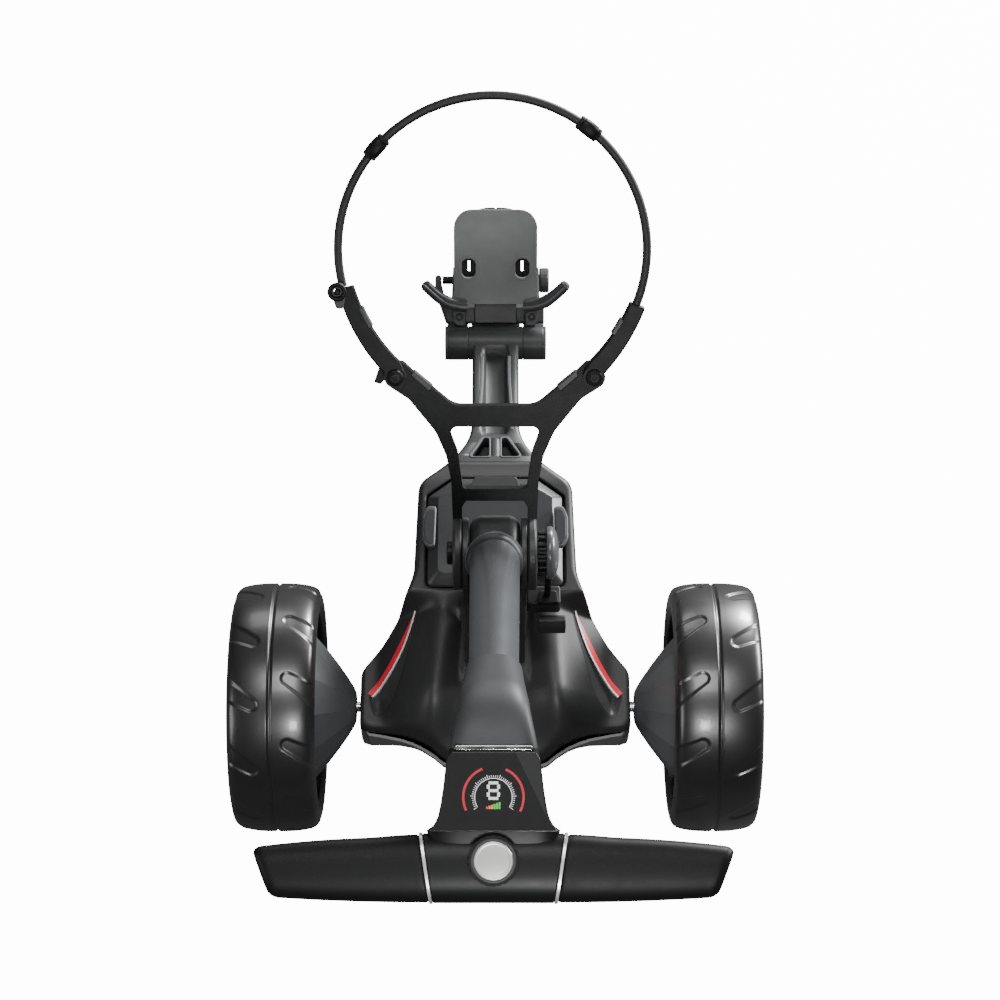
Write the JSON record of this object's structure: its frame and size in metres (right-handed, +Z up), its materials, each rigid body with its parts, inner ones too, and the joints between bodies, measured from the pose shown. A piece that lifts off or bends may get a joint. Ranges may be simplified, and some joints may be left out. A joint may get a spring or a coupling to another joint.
{
  "type": "electric golf trolley",
  "caption": "Three-wheeled electric golf trolley with a folding shaft, a T handle with a speed dial, an inset battery, and a cradle, strap and foot plate that hold a golf bag.",
  "frame": {"origin": "middle of the floor plan's bounding box, on the ground", "axes": "+X across the trolley along the wheel axles, +Y forward towards the front wheel, +Z up from the ground"},
  "size_m": [0.585, 1.0892, 0.9112],
  "materials": {
    "tyre_rubber": "gloss moulded tread",
    "grip_rubber": "soft satin",
    "black_plastic": "satin moulded",
    "dark_plastic": "satin moulded",
    "grey_plastic": "satin moulded",
    "anthracite_metal": "metallic satin coat",
    "bright_steel": "turned",
    "silver_trim": "satin chrome",
    "red_trim": "satin inlay",
    "screen_cover": "polished",
    "strap_cord": "braided",
    "circuit_board": "lacquered"
  },
  "bodies": {
    "frame": {"body_base": "grey_plastic", "body_cover": "black_plastic", "stripe_left": "red_trim", "stripe_right": "red_trim", "battery_tray": "dark_plastic", "gearbox_case": "bright_steel", "gearbox_cover": "bright_steel", "motor": "anthracite_metal", "control_unit": "circuit_board", "axle_bearing_left": "bright_steel", "axle_bearing_right": "bright_steel", "hinge_pedestal": "dark_plastic", "hinge_bolt": "bright_steel", "lock_block": "black_plastic", "front_arm": "dark_plastic", "fold_pin": "bright_steel"},
    "rear_wheel_left": {"rear_tyre_left": "tyre_rubber", "rear_rim_left": "dark_plastic", "wheel_cone_left": "grey_plastic"},
    "rear_wheel_right": {"rear_tyre_right": "tyre_rubber", "rear_rim_right": "dark_plastic", "wheel_cone_right": "grey_plastic"},
    "axle": {"drive_axle": "bright_steel", "axle_gear": "bright_steel"},
    "pinion": {"motor_pinion": "bright_steel"},
    "shaft": {"shaft_socket": "dark_plastic", "shaft_tube": "anthracite_metal", "handle_housing": "black_plastic", "display_panel": "screen_cover", "chrome_strip": "silver_trim", "handle_ring_left": "silver_trim", "handle_ring_right": "silver_trim", "grip_left": "grip_rubber", "grip_right": "grip_rubber"},
    "dial_button": {"dial_cap": "silver_trim"},
    "dial": {"speed_dial": "dark_plastic"},
    "cradle": {"cradle_frame": "dark_plastic", "bag_strap": "strap_cord", "strap_slider_left": "dark_plastic", "strap_slider_right": "dark_plastic", "arm_pivot_left": "bright_steel", "arm_pivot_right": "bright_steel"},
    "arm_left": {"upper_arm_left": "dark_plastic", "strap_hook": "dark_plastic"},
    "arm_right": {"upper_arm_right": "dark_plastic"},
    "front_fold": {"front_fork": "dark_plastic", "plate_bracket": "dark_plastic", "bag_base_plate": "grey_plastic", "lower_arm_left": "dark_plastic", "lower_arm_right": "dark_plastic", "front_axle": "bright_steel"},
    "front_wheel": {"front_tyre": "tyre_rubber", "front_rim": "dark_plastic"},
    "nut": {"tracking_nut": "dark_plastic"},
    "axle_lever": {"axle_lever": "dark_plastic"},
    "battery": {"battery_pack": "grey_plastic"},
    "latch_left": {"battery_latch_left": "dark_plastic"},
    "latch_right": {"battery_latch_right": "dark_plastic"},
    "knob": {"clamp_knob": "grey_plastic"},
    "lock_lever": {"lock_lever": "black_plastic"}
  },
  "joints": [
    {"name": "wheel_spin_left", "type": "hinge", "parent": "frame", "child": "rear_wheel_left", "pos_m": [-0.2443, -0.1224, 0.14], "axis": [1, 0, 0], "continuous": true},
    {"name": "wheel_spin_right", "type": "hinge", "parent": "frame", "child": "rear_wheel_right", "pos_m": [0.2443, -0.1224, 0.14], "axis": [1, 0, 0], "continuous": true},
    {"name": "axle_spin", "type": "hinge", "parent": "frame", "child": "axle", "pos_m": [0, -0.1224, 0.14], "axis": [1, 0, 0], "continuous": true},
    {"name": "pinion_spin", "type": "hinge", "parent": "frame", "child": "pinion", "pos_m": [0, -0.06769, 0.128], "axis": [1, 0, 0], "continuous": true},
    {"name": "shaft_fold", "type": "hinge", "parent": "frame", "child": "shaft", "pos_m": [0, -0.0554, 0.43], "axis": [1, 0, 0], "range_deg": [-120, 0]},
    {"name": "cradle_fold", "type": "hinge", "parent": "frame", "child": "cradle", "pos_m": [0, -0.0554, 0.43], "axis": [1, 0, 0], "range_deg": [-72.5, 0.5]},
    {"name": "dial_push", "type": "slide", "parent": "shaft", "child": "dial_button", "axis": [0, 0.2756, -0.9613], "range_m": [0, 0.001], "stiffness_N_per_m": 600, "springref_m": -0.002},
    {"name": "dial_turn", "type": "hinge", "parent": "dial_button", "child": "dial", "pos_m": [0, -0.51034, 0.86527], "axis": [0, -0.2756, 0.9613], "continuous": true},
    {"name": "arm_swing_left", "type": "hinge", "parent": "cradle", "child": "arm_left", "pos_m": [-0.101, 0.09061, 0.55252], "axis": [0, -0.6428, 0.766], "range_deg": [-10, 10], "deforming": ["bag_strap"]},
    {"name": "arm_swing_right", "type": "hinge", "parent": "cradle", "child": "arm_right", "pos_m": [0.101, 0.09061, 0.55252], "axis": [0, -0.6428, 0.766], "range_deg": [-10, 10], "deforming": ["bag_strap"]},
    {"name": "front_fold", "type": "hinge", "parent": "frame", "child": "front_fold", "pos_m": [0, 0.3253, 0.17], "axis": [1, 0, 0], "range_deg": [-95, 0]},
    {"name": "front_wheel_spin", "type": "hinge", "parent": "front_fold", "child": "front_wheel", "pos_m": [0, 0.4546, 0.09], "axis": [1, 0, 0], "continuous": true},
    {"name": "nut_turn", "type": "hinge", "parent": "front_fold", "child": "nut", "pos_m": [0.06, 0.4546, 0.09], "axis": [1, 0, 0], "continuous": true},
    {"name": "lever_swing", "type": "hinge", "parent": "front_fold", "child": "axle_lever", "pos_m": [-0.071, 0.4546, 0.09], "axis": [0, 0, -1], "range_deg": [0, 90]},
    {"name": "battery_lift", "type": "slide", "parent": "frame", "child": "battery", "axis": [0, 0, 1], "range_m": [0, 0.04]},
    {"name": "latch_lift_left", "type": "hinge", "parent": "battery", "child": "latch_left", "pos_m": [-0.062, 0.0456, 0.2575], "axis": [0, 1, 0], "range_deg": [0, 60]},
    {"name": "latch_lift_right", "type": "hinge", "parent": "battery", "child": "latch_right", "pos_m": [0.062, 0.0456, 0.2575], "axis": [0, -1, 0], "range_deg": [0, 60]},
    {"name": "knob_turn", "type": "hinge", "parent": "frame", "child": "knob", "pos_m": [0, -0.0554, 0.43], "axis": [1, 0, 0], "continuous": true},
    {"name": "lock_lever_swing", "type": "hinge", "parent": "frame", "child": "lock_lever", "pos_m": [0.061, -0.0844, 0.312], "axis": [1, 0, 0], "range_deg": [-60, 0]}
  ],
  "couplings": [
    {"joint": "pinion_spin", "follows": "axle_spin", "ratio": -4},
    {"joint": "cradle_fold", "follows": "shaft_fold", "ratio": 0.6}
  ]
}
